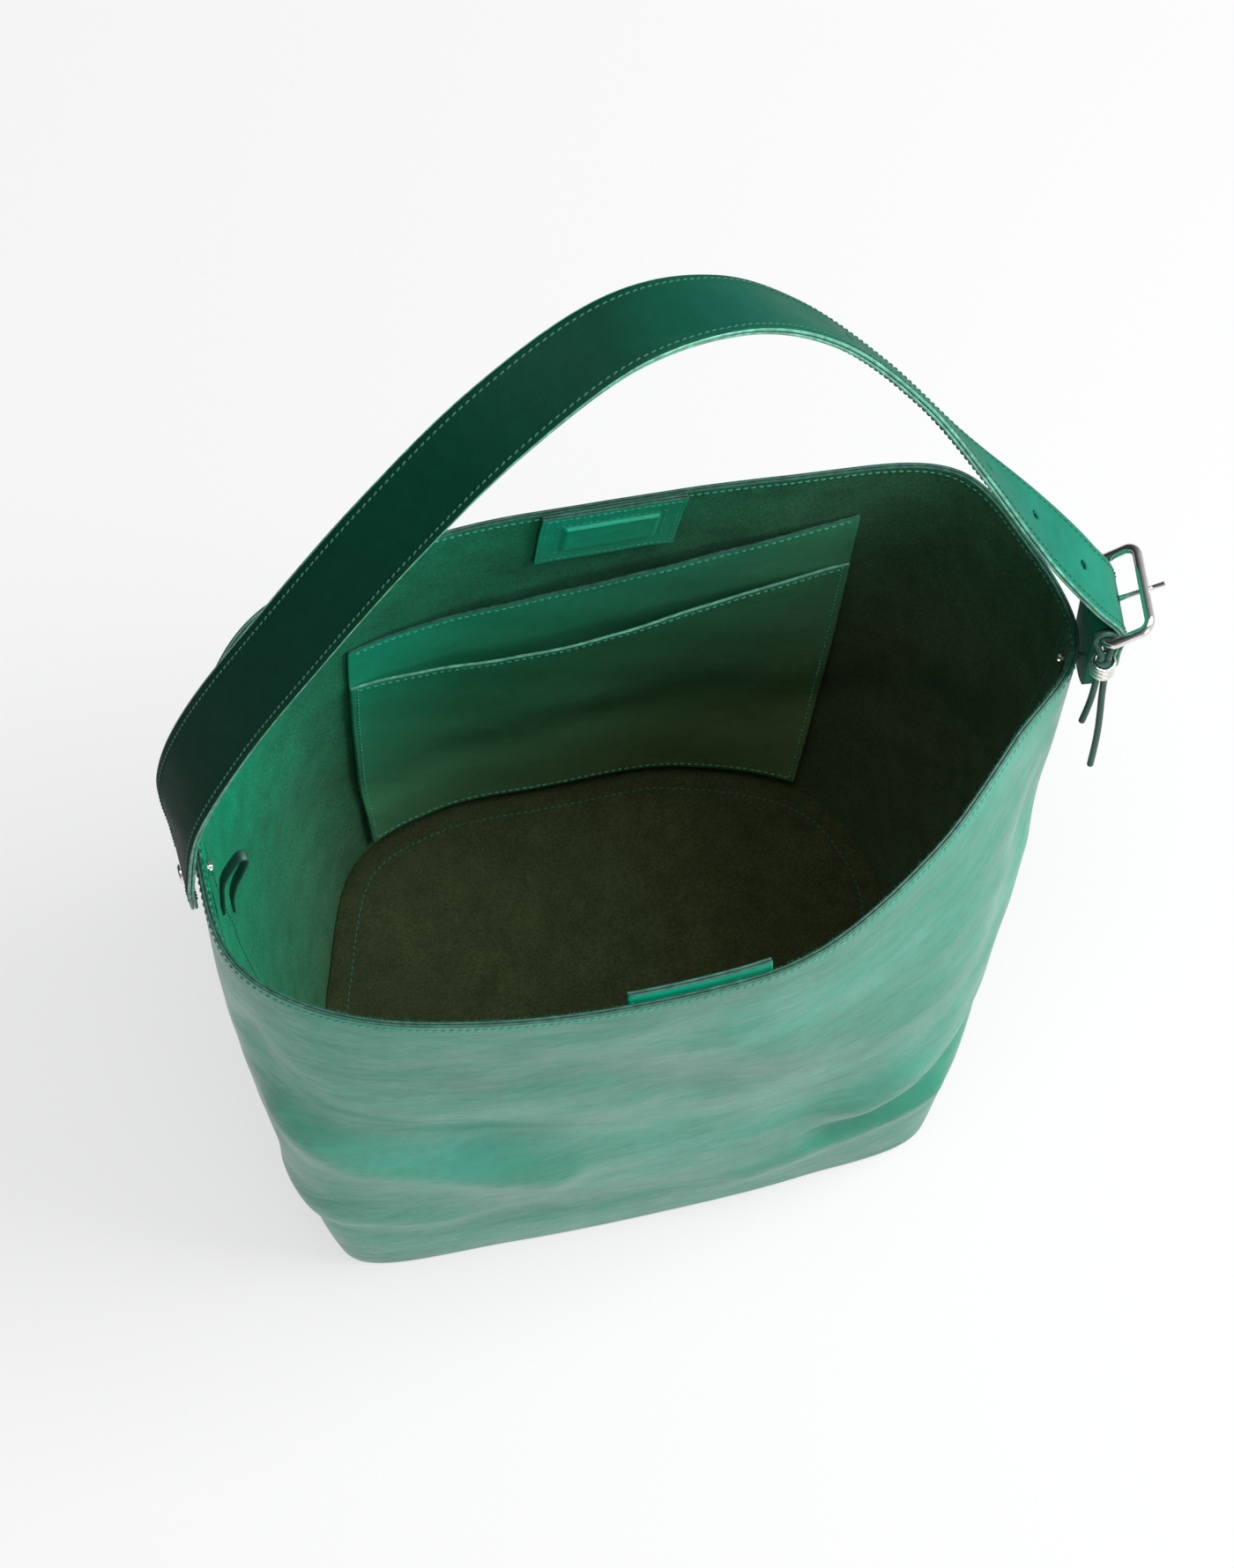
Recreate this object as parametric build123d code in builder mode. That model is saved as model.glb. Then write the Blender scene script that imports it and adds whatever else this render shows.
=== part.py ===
from build123d import *
from math import cos, hypot, pi, radians, sin, tan
import os

# A shoulder bucket bag in leather: two wall panels on a flat base, open at the top, with slip
# pockets and magnet tabs inside and one wide strap that buckles at the right-hand end.
# Frame: origin on the table under the middle of the base, +X to the buckle end, +Y to the
# pocket wall, +Z up. Millimetres.

# ---- driving dimensions ----
MOUTH_Z = 300.0          # height of the rim
SKIN = 1.4               # outer leather of the walls
LINING = 1.2             # suede-side ply bonded inside the walls
WALL = SKIN + LINING
BASE = 2.6               # base leather
LINER = 1.6              # stitched layer on the bag's floor
POCKET = 1.5             # pocket leather
FACING = 1.4             # strip covering each side seam inside
BOND = 0.1               # glue line between the two plies
GAP = 0.25               # air between neighbouring plies

STRAP_WIDTH = 32.0
STRAP_PLY = 1.7          # middle of the strap to each face; it is two plies
STRAP_BOND = 0.15        # half the glue line between them
STRAP_HOLE = 4.6
HOLE_PITCH = 34.0
HOLES = 7                # the first one holds the prong

PIVOT_Y = -12.0          # both ends of the strap turn about one line along X
PIVOT_Z = 284.0
RIVET_SHANK = 4.0
RIVET_CAP = 9.0
RUNNING = 0.08           # radial clearance of everything that turns on a pin

BAR = 4.5                # buckle wire
BUCKLE_WIDTH = 44.0      # outside, along the heel bar
BUCKLE_REACH = 22.0      # heel bar axis to tip bar axis
HEEL = (220.0, PIVOT_Y, 329.0)
BUCKLE_YAW = 8.0         # the buckle faces a little forward
BUCKLE_TILT = 37.0       # frame plane above level, tip outwards and up
PRONG = 2.8

LACE = 3.0
RING_R = 5.4
RING_HEIGHT = 9.6

# Ribs of the wall: the outline's (x, y) at the base, a belly control point, and at the rim.
# Rib 0 is the right seam, 1-7 go round the back, 8 is the left seam, 9-15 the front.
RIBS = [
    ((148, -14), (203, -16), (213.6, -14)),
    ((152, 34), (192, 36), (208, 40)),
    ((130, 80), (164, 90), (184, 84)),
    ((70, 110), (92, 110), (112, 98)),
    ((4, 116), (20, 116), (36, 106)),
    ((-50, 117), (-50, 118), (-44, 109)),
    ((-96, 98), (-116, 100), (-122, 92)),
    ((-122, 42), (-152, 42), (-162, 42)),
    ((-138, -14), (-172, -14), (-173, -14)),
    ((-145, -62), (-180, -66), (-168, -66)),
    ((-138, -100), (-158, -106), (-128, -101)),
    ((-68, -109), (-66, -120), (-62, -121)),
    ((6, -113), (10, -124), (14, -128)),
    ((72, -113), (72, -124), (70, -122)),
    ((132, -106), (154, -106), (128, -91)),
    ((146, -62), (200, -64), (176, -50)),
]
RIGHT_SEAM, LEFT_SEAM, ROUND = 0.0, 8.0, 16.0

LEFT_END_X = -177.6      # the strap's left end hangs flat against the wall here
TAIL_XY = (226.7, -12.9) # and its tail hangs here, outside the buckle
TAIL_Z = 304.0           # where the tail's rounded tip starts

# Stations of the strap's middle: x, y, z and the twist of its width about its run, in degrees.
STRAP_PATH = [
    (LEFT_END_X, PIVOT_Y, 268, 0),
    (LEFT_END_X, PIVOT_Y, 286, 0),
    (LEFT_END_X, PIVOT_Y, 304, 2),
    (-174.0, -10, 348, 20),
    (-153.5, -8, 400, 40),
    (-119, -4, 455, 46),
    (-76, 6, 505, 42),
    (-28, 21, 541, 28),
    (24, 39, 554, 6),
    (70, 50, 538, -14),
    (108, 52, 504, -25),
    (142, 42, 460, -24),
    (170, 25, 416, -14),
    (195, 7, 380, 4),
    (214.5, -9.8, 354, 10),
    (*TAIL_XY, 331, 8),
    (*TAIL_XY, 311, 8),
    (*TAIL_XY, 291, 8),
]

os.makedirs("parts", exist_ok=True)


def smooth(before, a, b, after, t):
    """One span of a Catmull-Rom curve, from a to b."""
    return tuple(
        0.5 * (2 * q + (r - p) * t + (2 * p - 5 * q + 4 * r - s) * t**2 + (3 * q - p - 3 * r + s) * t**3)
        for p, q, r, s in zip(before, a, b, after)
    )


def rib_at(rib, z):
    """Where a rib crosses the height z: a quadratic from base to rim through its belly."""
    v = z / MOUTH_Z
    return tuple(
        (1 - v) ** 2 * p + 2 * v * (1 - v) * q + v**2 * r for p, q, r in zip(*rib)
    )


def wall_point(u, z, inset=0.0):
    """A point of the wall: u counts ribs round the bag, inset goes inwards from the outside."""
    i = int(u)
    near = [rib_at(RIBS[(i + k) % len(RIBS)], z) for k in (-1, 0, 1, 2)]
    x, y = smooth(*near, u - i)
    x2, y2 = smooth(*near, u - i + 0.01)
    run = hypot(x2 - x, y2 - y)
    return Vector(x - inset * (y2 - y) / run, y + inset * (x2 - x) / run, z)


def wall_ply(u_range, heights, depths, steps=16):
    """A ply that follows the wall between two ribs: u_range and depths may change with u and z."""
    with BuildPart() as ply:
        for z in heights:
            start, end = u_range(z)
            stations = [start + (end - start) * k / steps for k in range(steps + 1)]
            outside = [wall_point(u, z, depths(u, z)[0]) for u in stations]
            inside = [wall_point(u, z, depths(u, z)[1]) for u in stations]
            with BuildSketch(Plane.XY.offset(z)):
                with BuildLine():
                    Spline(*[(p.X, p.Y) for p in outside])
                    Line((outside[-1].X, outside[-1].Y), (inside[-1].X, inside[-1].Y))
                    Spline(*[(p.X, p.Y) for p in reversed(inside)])
                    Line((inside[0].X, inside[0].Y), (outside[0].X, outside[0].Y))
                make_face()
        loft()
    return ply.part


def save(part, name):
    part.label = name
    export_step(part, f"parts/{name}.step")


# ---- wall panels and their linings ----
WALL_HEIGHTS = [BASE, 50, 105, 165, 230, MOUTH_Z]
PIVOT_AXIS_PLANE = Plane((0, PIVOT_Y, PIVOT_Z), x_dir=(0, 1, 0), z_dir=(1, 0, 0))

for name, ends in (("back", (RIGHT_SEAM, LEFT_SEAM)), ("front", (LEFT_SEAM, ROUND))):
    with BuildPart() as panel:
        add(wall_ply(lambda z: ends, WALL_HEIGHTS, lambda u, z: (0, SKIN), steps=24))
        with BuildSketch(PIVOT_AXIS_PLANE):
            Circle(RIVET_SHANK / 2 + 0.05)
        extrude(amount=400, both=True, mode=Mode.SUBTRACT)
    save(panel.part, f"{name}_panel")

    with BuildPart() as lining:
        add(wall_ply(lambda z: ends, WALL_HEIGHTS, lambda u, z: (SKIN + BOND, WALL), steps=24))
        with BuildSketch(PIVOT_AXIS_PLANE):
            Circle(RIVET_SHANK / 2 + 0.05)
        extrude(amount=400, both=True, mode=Mode.SUBTRACT)
    save(lining.part, f"{name}_lining")


# ---- base and the stitched floor liner ----
def floor_plate(z, thickness, inset):
    """A flat plate with the wall's outline at that height, set in by inset."""
    with BuildPart() as plate:
        with BuildSketch(Plane.XY.offset(z)):
            with BuildLine():
                edge = [wall_point(k / 3, z, inset) for k in range(3 * len(RIBS))]
                Spline(*[(p.X, p.Y) for p in edge], periodic=True)
            make_face()
        extrude(amount=thickness)
    return plate.part


save(floor_plate(0, BASE, 0.0), "base_panel")
save(floor_plate(BASE + GAP, LINER, WALL + 0.4), "base_liner")

# ---- strips over the side seams, inside ----
SEAM_HALF = 0.26         # of a rib spacing, about 13 mm each way
SEAM_HEIGHTS = [BASE + LINER + 1, 60, 120, 180, 240, MOUTH_Z - 4]
for name, seam in (("left", LEFT_SEAM), ("right", ROUND)):
    with BuildPart() as facing:
        add(
            wall_ply(
                lambda z: (seam - SEAM_HALF, seam + SEAM_HALF),
                SEAM_HEIGHTS,
                lambda u, z: (WALL + GAP, WALL + GAP + FACING),
                steps=6,
            )
        )
        with BuildSketch(PIVOT_AXIS_PLANE):
            Circle(RIVET_SHANK / 2 + 0.05)
        extrude(amount=400, both=True, mode=Mode.SUBTRACT)
    save(facing.part, f"{name}_seam_facing")

# ---- slip pockets on the back wall ----
POCKET_FOOT = 14.0
POCKET_RIGHT = (2.1, 2.5)        # ribs at the pockets' foot and at the rim's height
POCKET_LEFT = (5.7, 5.42)
REAR_MOUTH = (258.0, 217.0)      # heights of the rear pocket's top edge, right and left
FRONT_MOUTH = (214.0, 184.0)
POCKET_SIDES = (147.0, -79.0)    # x of the two top corners
REAR_GAPE = 7.0
FRONT_GAPE = 11.0


def pocket_ends(z):
    rise = z / MOUTH_Z
    return tuple(low + (high - low) * rise for low, high in (POCKET_RIGHT, POCKET_LEFT))


def gape(u, z, most, top, hump):
    """How far a pocket's cloth stands off: none at its stitched sides and foot."""
    start, end = pocket_ends(z)
    across = (u - start) / (end - start)
    up = max(0.0, min(1.0, (z - POCKET_FOOT) / (top - POCKET_FOOT)))
    return most * sin(pi * across**hump) * up**2


def rear_inset(u, z):
    return WALL + GAP + gape(u, z, REAR_GAPE, 240, 1.0)


def front_inset(u, z):
    return rear_inset(u, z) + POCKET + GAP + gape(u, z, FRONT_GAPE, 200, 1.35)


def slip_pocket(inset, mouth, heights):
    """A pocket ply, its top cut along the sloping line between its two corners."""
    slope = Plane(
        (POCKET_SIDES[0], 0, mouth[0]),
        x_dir=(0, 1, 0),
        z_dir=(mouth[1] - mouth[0], 0, POCKET_SIDES[0] - POCKET_SIDES[1]),
    )
    with BuildPart() as pocket:
        add(wall_ply(pocket_ends, heights, lambda u, z: (inset(u, z), inset(u, z) + POCKET)))
        split(bisect_by=slope, keep=Keep.BOTTOM)
    return pocket.part


save(slip_pocket(rear_inset, REAR_MOUTH, [POCKET_FOOT, 70, 130, 190, 225, 268]), "rear_pocket")
save(slip_pocket(front_inset, FRONT_MOUTH, [POCKET_FOOT, 60, 105, 150, 185, 222]), "front_pocket")

# ---- magnet tabs at the middle of each rim ----
TAB_FOOT, TAB_TOP = 256.0, MOUTH_Z + 3
TAB_PLY = 1.3
MAGNET_THICK = 1.8
MAGNET_Z = (269.0, 289.0)
TAB_SPANS = {"back": (3.54, 4.36), "front": (11.6, 12.58)}



def tab_ply(span, heights, low, high, steps=6):
    """A plain ply of a tab between two depths inside the wall."""
    return wall_ply(lambda z: span, heights, lambda u, z: (low, high), steps)


for side, (start, end) in TAB_SPANS.items():
    width = end - start
    bump = (start + 0.17 * width, end - 0.17 * width)
    strip = (start + 0.19 * width, end - 0.19 * width)
    pocket = (strip[0] - 0.004, strip[1] + 0.004)
    heights = [TAB_FOOT, 280, TAB_TOP]
    low, high = MAGNET_Z
    backing = WALL + GAP
    front = backing + TAB_PLY + 0.05
    save(tab_ply((start, end), heights, backing, backing + TAB_PLY), f"{side}_tab_backing")
    save(tab_ply(strip, [low + 0.6, high - 0.6], front, front + MAGNET_THICK, 4), f"{side}_magnet")
    with BuildPart() as cover:
        add(tab_ply((start, end), heights, front, front + TAB_PLY))
        add(tab_ply(bump, [low - 1, high + 1], front + TAB_PLY / 2, front + TAB_PLY + MAGNET_THICK, 4))
        room = tab_ply(pocket, [low + 0.4, high - 0.4], front - 0.2, front + MAGNET_THICK + 0.1, 4)
        add(room, mode=Mode.SUBTRACT)
    save(cover.part, f"{side}_tab_cover")

# ---- folded loop inside the left seam ----
LOOP_THICK = 1.8
LOOP_WIDTH = 6.0
with BuildPart() as inner_loop:
    with BuildSketch(Plane.XZ.offset(20)):
        with BuildLine():
            FilletPolyline(
                (-166, 262),
                (-164.5, 290),
                (-155.5, 312),
                (-151.5, 309),
                (-159.0, 287),
                (-161.5, 262),
                radius=1.8,
            )
            offset(amount=LOOP_THICK / 2, side=Side.BOTH)
        make_face()
    extrude(amount=LOOP_WIDTH)
save(inner_loop.part, "inner_loop")

# ---- strap: outer ply and lining, from the left rivet over to the buckle ----
STRAP_STATIONS = 30


def strap_at(s):
    """Middle, run and width direction of the strap at a fraction of its stations."""
    spans = len(STRAP_PATH) - 1
    ends = [
        tuple(2 * a - b for a, b in zip(STRAP_PATH[0], STRAP_PATH[1])),
        *STRAP_PATH,
        tuple(2 * a - b for a, b in zip(STRAP_PATH[-1], STRAP_PATH[-2])),
    ]
    i = min(int(s * spans), spans - 1)
    here = smooth(*ends[i : i + 4], s * spans - i)
    ahead = smooth(*ends[i : i + 4], s * spans - i + 0.01)
    behind = smooth(*ends[i : i + 4], s * spans - i - 0.01)
    run = (Vector(*ahead[:3]) - Vector(*behind[:3])).normalized()
    level = Vector(0, 1, 0)
    level = (level - run * level.dot(run)).normalized()
    out = run.cross(level)
    twist = radians(here[3])
    return Vector(*here[:3]), run, level * cos(twist) + out * sin(twist)


def strap_section(s, low, high):
    """Plane across the strap, with its origin in the ply's middle."""
    middle, run, width = strap_at(s)
    out = run.cross(width)
    return Plane(middle + out * (low + high) / 2, x_dir=width, z_dir=run)


def strap_distance(s, e, steps=60):
    marks = [strap_at(s + (e - s) * k / steps)[0] for k in range(steps + 1)]
    return sum((b - a).length for a, b in zip(marks, marks[1:]))


def strap_before(s, distance):
    """The fraction that lies that far back along the strap."""
    e = s
    while strap_distance(e, s, 12) < distance:
        e -= 0.001
    return e


heel_out = Vector(cos(radians(BUCKLE_YAW)), -sin(radians(BUCKLE_YAW)), 0)
heel_run = Vector(sin(radians(BUCKLE_YAW)), cos(radians(BUCKLE_YAW)), 0)
HEEL_PLANE = Plane(HEEL, x_dir=heel_out, z_dir=-heel_run)   # x outwards, y up, z along the bar
PRONG_RISE = 27.5        # slope of the prong, degrees above level
PRONG_HOLE_AT = (len(STRAP_PATH) - 3) / (len(STRAP_PATH) - 1)
PRONG_SLOT = (14.0, 6.4)         # length along the prong and height of its hole in the strap
PRONG_SLOT_AT = (6.9, 2.9)       # its middle, outwards and up from the heel bar
TAIL_TIP = 13.0

tail_plane = Plane((*TAIL_XY, TAIL_Z), x_dir=heel_run, z_dir=heel_out)
hole_sections = [
    strap_section(strap_before(PRONG_HOLE_AT, HOLE_PITCH * k), 0, 0) for k in range(1, HOLES)
]

for name, low, high in (("strap_outer", STRAP_BOND, STRAP_PLY), ("strap_lining", -STRAP_PLY, -STRAP_BOND)):
    with BuildPart() as ply:
        for k in range(STRAP_STATIONS):
            with BuildSketch(strap_section(k / (STRAP_STATIONS - 1), low, high)):
                Rectangle(STRAP_WIDTH, high - low)
        loft()
        with BuildSketch(Plane((LEFT_END_X, PIVOT_Y, PIVOT_Z), x_dir=(0, 1, 0), z_dir=(1, 0, 0))):
            with Locations((0, -STRAP_WIDTH / 2)):
                Rectangle(STRAP_WIDTH + 4, STRAP_WIDTH)
            Circle(STRAP_WIDTH / 2, mode=Mode.SUBTRACT)
        extrude(amount=6, both=True, mode=Mode.SUBTRACT)
        with BuildSketch(tail_plane):
            with Locations((0, -TAIL_TIP)):
                Rectangle(STRAP_WIDTH + 4, 2 * TAIL_TIP)
            Ellipse(STRAP_WIDTH / 2, TAIL_TIP, mode=Mode.SUBTRACT)
        extrude(amount=6, both=True, mode=Mode.SUBTRACT)
        with BuildSketch(PIVOT_AXIS_PLANE.offset(-200)):
            Circle(RIVET_SHANK / 2 + RUNNING)
        extrude(amount=60, mode=Mode.SUBTRACT)
        for plane in hole_sections:
            with BuildSketch(Plane(plane.origin, x_dir=plane.x_dir, z_dir=plane.y_dir)):
                Circle(STRAP_HOLE / 2)
            extrude(amount=8, both=True, mode=Mode.SUBTRACT)
        with BuildSketch(HEEL_PLANE):
            with Locations(PRONG_SLOT_AT):
                Rectangle(*PRONG_SLOT, rotation=PRONG_RISE)
        extrude(amount=STRAP_HOLE / 2, both=True, mode=Mode.SUBTRACT)
    save(ply.part, name)

# ---- chape: the leather that holds the buckle's heel bar to the bag ----
CHAPE_WIDTH = 26.0
CHAPE_PLY = 1.9
CHAPE_SLOT = 3.6         # cut-out for the prong's eye
CHAPE_BORE = BAR / 2 + RUNNING
CHAPE_R = CHAPE_BORE + CHAPE_PLY
CHAPE_FOOT = PIVOT_Z - CHAPE_WIDTH / 2 - HEEL[2]
with BuildPart() as chape:
    with BuildSketch(HEEL_PLANE):
        Circle(CHAPE_R)
        with BuildLine():
            Polyline(
                (-CHAPE_R, 0),
                (-CHAPE_R, CHAPE_FOOT),
                (-CHAPE_R + 2 * CHAPE_PLY, CHAPE_FOOT),
                (-CHAPE_R + 2 * CHAPE_PLY, -15),
                (CHAPE_R, -2),
                (CHAPE_R, 0),
                close=True,
            )
        make_face()
        Circle(CHAPE_BORE, mode=Mode.SUBTRACT)
    extrude(amount=CHAPE_WIDTH / 2, both=True)
    with BuildSketch(HEEL_PLANE):
        Rectangle(2 * CHAPE_R + 1, 2 * CHAPE_R + 1)
    extrude(amount=CHAPE_SLOT / 2, both=True, mode=Mode.SUBTRACT)
    with BuildSketch(Plane(HEEL, x_dir=heel_run, z_dir=heel_out)):
        with Locations((0, (CHAPE_R + PIVOT_Z - HEEL[2]) / 2)):
            Rectangle(CHAPE_WIDTH, CHAPE_R + HEEL[2] - PIVOT_Z + 1)
        with Locations((0, PIVOT_Z - HEEL[2])):
            Circle(CHAPE_WIDTH / 2)
    extrude(amount=12, both=True, mode=Mode.INTERSECT)
    with BuildSketch(PIVOT_AXIS_PLANE.offset(200)):
        Circle(RIVET_SHANK / 2 + RUNNING)
    extrude(amount=40, mode=Mode.SUBTRACT)
save(chape.part, "chape")

# ---- rivets that the strap's left end and the chape turn on ----
CAP_THICK = 1.5
WALL_INSIDE = {"left": -167.8, "right": 207.2}   # face of the seam facing at the rivet's height
LEATHER_OUTSIDE = {"left": -179.5, "right": 221.0}
for side, sign in (("left", -1), ("right", 1)):
    inside, outside = WALL_INSIDE[side], LEATHER_OUTSIDE[side]
    with BuildPart() as rivet:
        with BuildSketch(PIVOT_AXIS_PLANE.offset(inside - sign * 1.6)):
            Circle(RIVET_SHANK / 2)
        extrude(amount=sign * (abs(outside - inside) + 1.8))
        with BuildSketch(PIVOT_AXIS_PLANE.offset(outside + sign * 0.15)):
            Circle(RIVET_CAP / 2)
        extrude(amount=sign * CAP_THICK)
        cap_rim = rivet.edges().filter_by(GeomType.CIRCLE).sort_by(Axis.X)[0 if sign < 0 else -1]
        fillet(cap_rim, 1.1)
    save(rivet.part, f"{side}_rivet")
    with BuildPart() as burr:
        with BuildSketch(PIVOT_AXIS_PLANE.offset(inside - sign * 0.1)):
            Circle(RIVET_CAP / 2 - 0.5)
            Circle(RIVET_SHANK / 2 + 0.01, mode=Mode.SUBTRACT)
        extrude(amount=-sign * 1.1)
    save(burr.part, f"{side}_rivet_burr")

# ---- buckle frame and prong ----
reach = Vector(heel_out * cos(radians(BUCKLE_TILT)) + Vector(0, 0, 1) * sin(radians(BUCKLE_TILT)))
FRAME_PLANE = Plane(HEEL, x_dir=reach, z_dir=reach.cross(heel_run))
half = (BUCKLE_WIDTH - BAR) / 2
with BuildPart() as buckle_frame:
    with BuildLine(FRAME_PLANE):
        FilletPolyline(
            (0, -half),
            (BUCKLE_REACH, -half),
            (BUCKLE_REACH, half),
            (0, half),
            radius=5.0,
            close=True,
        )
    with BuildSketch(Plane(HEEL, x_dir=reach, z_dir=heel_run)):
        Circle(BAR / 2)
    sweep()
save(buckle_frame.part, "buckle_frame")

PRONG_EYE = BAR / 2 + RUNNING
PRONG_LENGTH = 30.0
prong_dir = Vector(heel_out * cos(radians(PRONG_RISE)) + Vector(0, 0, 1) * sin(radians(PRONG_RISE)))
with BuildPart() as buckle_prong:
    with BuildSketch(Plane(Vector(*HEEL) + prong_dir * 3.0, x_dir=heel_run, z_dir=prong_dir)):
        Circle(PRONG / 2)
    extrude(amount=PRONG_LENGTH - 3.0, taper=0.6)
    with BuildSketch(HEEL_PLANE):
        Circle(PRONG_EYE + 1.5)
    extrude(amount=PRONG / 2, both=True)
    with BuildSketch(HEEL_PLANE):
        Circle(PRONG_EYE)
    extrude(amount=PRONG, both=True, mode=Mode.SUBTRACT)
save(buckle_prong.part, "buckle_prong")

# ---- lace round the heel bar, its ring and its two tails ----
LOOP_AT = 15.4           # along the bar, towards the front
RING_AT = 19.8
RING_TOP = 316.4
LEG = 1.55               # each leg of the lace, off the ring's middle
bar_spot = Vector(*HEEL) - heel_run * LOOP_AT
ring_spot = Vector(*HEEL) - heel_run * RING_AT
up = Vector(0, 0, 1)
bend = BAR / 2 + 0.3 + LACE / 2
ring_low = ring_spot + up * (RING_TOP + 1.8 - HEEL[2])
ring_high = ring_low + up * 3.0
with BuildPart() as lace_loop:
    with BuildLine() as round_bar:
        FilletPolyline(
            ring_low - heel_out * LEG,
            ring_high - heel_out * LEG,
            bar_spot - heel_out * bend - up * 2.5,
            bar_spot - heel_out * bend + up * bend,
            bar_spot + heel_out * bend + up * bend,
            bar_spot + heel_out * bend - up * 2.5,
            ring_high + heel_out * LEG,
            ring_low + heel_out * LEG,
            radius=(2.0, 2.0, bend - 0.1, bend - 0.1, 2.0, 2.0),
        )
    with BuildSketch(Plane(ring_low - heel_out * LEG, z_dir=up)):
        Circle(LACE / 2)
    sweep()
save(lace_loop.part, "lace_loop")

RING_FOOT = RING_TOP - RING_HEIGHT
BORE_R = 3.3
ring_plane = Plane((ring_spot.X, ring_spot.Y, 0), x_dir=(1, 0, 0), z_dir=(0, -1, 0))
with BuildPart() as lace_ring:
    with BuildSketch(ring_plane):
        with BuildLine():
            Line((BORE_R, RING_FOOT), (BORE_R, RING_TOP))
            Line((BORE_R, RING_TOP), (RING_R - 0.6, RING_TOP))
            for band in range(3):
                high = RING_TOP - band * RING_HEIGHT / 3
                low = high - RING_HEIGHT / 3
                ThreePointArc((RING_R - 0.6, high), (RING_R, (high + low) / 2), (RING_R - 0.6, low))
            Line((RING_R - 0.6, RING_FOOT), (BORE_R, RING_FOOT))
        make_face()
    revolve(axis=Axis((ring_spot.X, ring_spot.Y, 0), (0, 0, 1)))
save(lace_ring.part, "lace_ring")

with BuildPart() as lace_knot:
    with BuildSketch(Plane.XY.offset(RING_FOOT + 0.2)):
        with Locations((ring_spot.X, ring_spot.Y)):
            Circle(BORE_R - 0.05)
    extrude(amount=RING_HEIGHT - 0.8)
save(lace_knot.part, "lace_knot")

SHORT_TAIL = [(-1.6, 0, 0), (-2.0, -0.4, -13), (-3.2, -1.3, -28), (-5.4, -1.8, -42)]
LONG_TAIL = [(1.6, 0, 0), (2.0, -0.3, -20), (2.9, -1.4, -42), (3.4, -2.2, -65), (2.6, -2.9, -88)]


def corner_radii(points):
    """0.45 of the shorter run over the tangent of half the turn, for each inner point."""
    radii = []
    for a, b, c in zip(points, points[1:], points[2:]):
        run_in, run_out = Vector(*b) - Vector(*a), Vector(*c) - Vector(*b)
        turn = radians(run_in.get_angle(run_out))
        radii.append(0.45 * min(run_in.length, run_out.length) / tan(turn / 2))
    return radii


for name, route in (("short_lace", SHORT_TAIL), ("long_lace", LONG_TAIL)):
    points = [(ring_spot.X + x, ring_spot.Y + y, RING_FOOT + z) for x, y, z in route]
    radii = corner_radii(points)
    with BuildPart() as tail:
        with BuildLine() as run:
            FilletPolyline(*points, radius=radii)
        start = run.wire()
        with BuildSketch(Plane(start @ 0, z_dir=start % 0)):
            Circle(LACE / 2)
        sweep()
    length = run.wire().length
    print(name, "length", round(length, 1), "radii", [round(r) for r in radii])
    print(name, "volume over section times length", tail.part.volume / (pi * LACE**2 / 4 * length))
    save(tail.part, name)
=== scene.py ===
import math

import bmesh
import bpy
import numpy as np
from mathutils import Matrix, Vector


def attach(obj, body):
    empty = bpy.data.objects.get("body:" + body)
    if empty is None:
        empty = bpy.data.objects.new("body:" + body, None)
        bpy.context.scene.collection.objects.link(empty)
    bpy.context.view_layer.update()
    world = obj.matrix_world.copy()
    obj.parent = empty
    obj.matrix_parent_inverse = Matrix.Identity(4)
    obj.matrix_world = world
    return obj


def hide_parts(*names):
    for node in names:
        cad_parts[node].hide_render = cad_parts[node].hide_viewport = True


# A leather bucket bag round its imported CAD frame. Shapes are worked out in millimetres, in the
# CAD frame, and turned into metres where a mesh or a curve is made.

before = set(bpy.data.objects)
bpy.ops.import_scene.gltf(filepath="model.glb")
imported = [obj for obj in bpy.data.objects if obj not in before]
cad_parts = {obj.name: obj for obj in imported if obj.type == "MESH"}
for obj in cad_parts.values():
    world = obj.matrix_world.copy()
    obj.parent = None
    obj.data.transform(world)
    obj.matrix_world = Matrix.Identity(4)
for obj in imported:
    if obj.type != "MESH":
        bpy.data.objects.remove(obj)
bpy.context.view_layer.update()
MM = 0.001

# ---- driving dimensions, as in the CAD model ----
MOUTH_Z = 300.0
SKIN = 1.4
LINING = 1.2
WALL = SKIN + LINING
BASE = 2.6
LINER = 1.6
POCKET = 1.5
FACING = 1.4
GAP = 0.25
STRAP_WIDTH = 32.0
STRAP_PLY = 1.7
STRAP_BOND = 0.15
STRAP_HOLE = 4.6
HOLE_PITCH = 34.0
HOLES = 7
PIVOT_Y, PIVOT_Z = -12.0, 284.0
BAR = 4.5
BUCKLE_WIDTH = 44.0
BUCKLE_REACH = 22.0
HEEL = np.array((220.0, PIVOT_Y, 329.0))
BUCKLE_YAW, BUCKLE_TILT = math.radians(8), math.radians(37)
UP = np.array((0, 0, 1.0))
HEEL_OUT = np.array((math.cos(BUCKLE_YAW), -math.sin(BUCKLE_YAW), 0))
HEEL_RUN = np.array((math.sin(BUCKLE_YAW), math.cos(BUCKLE_YAW), 0))
PRONG_RISE = math.radians(27.5)
LACE = 3.0

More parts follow.
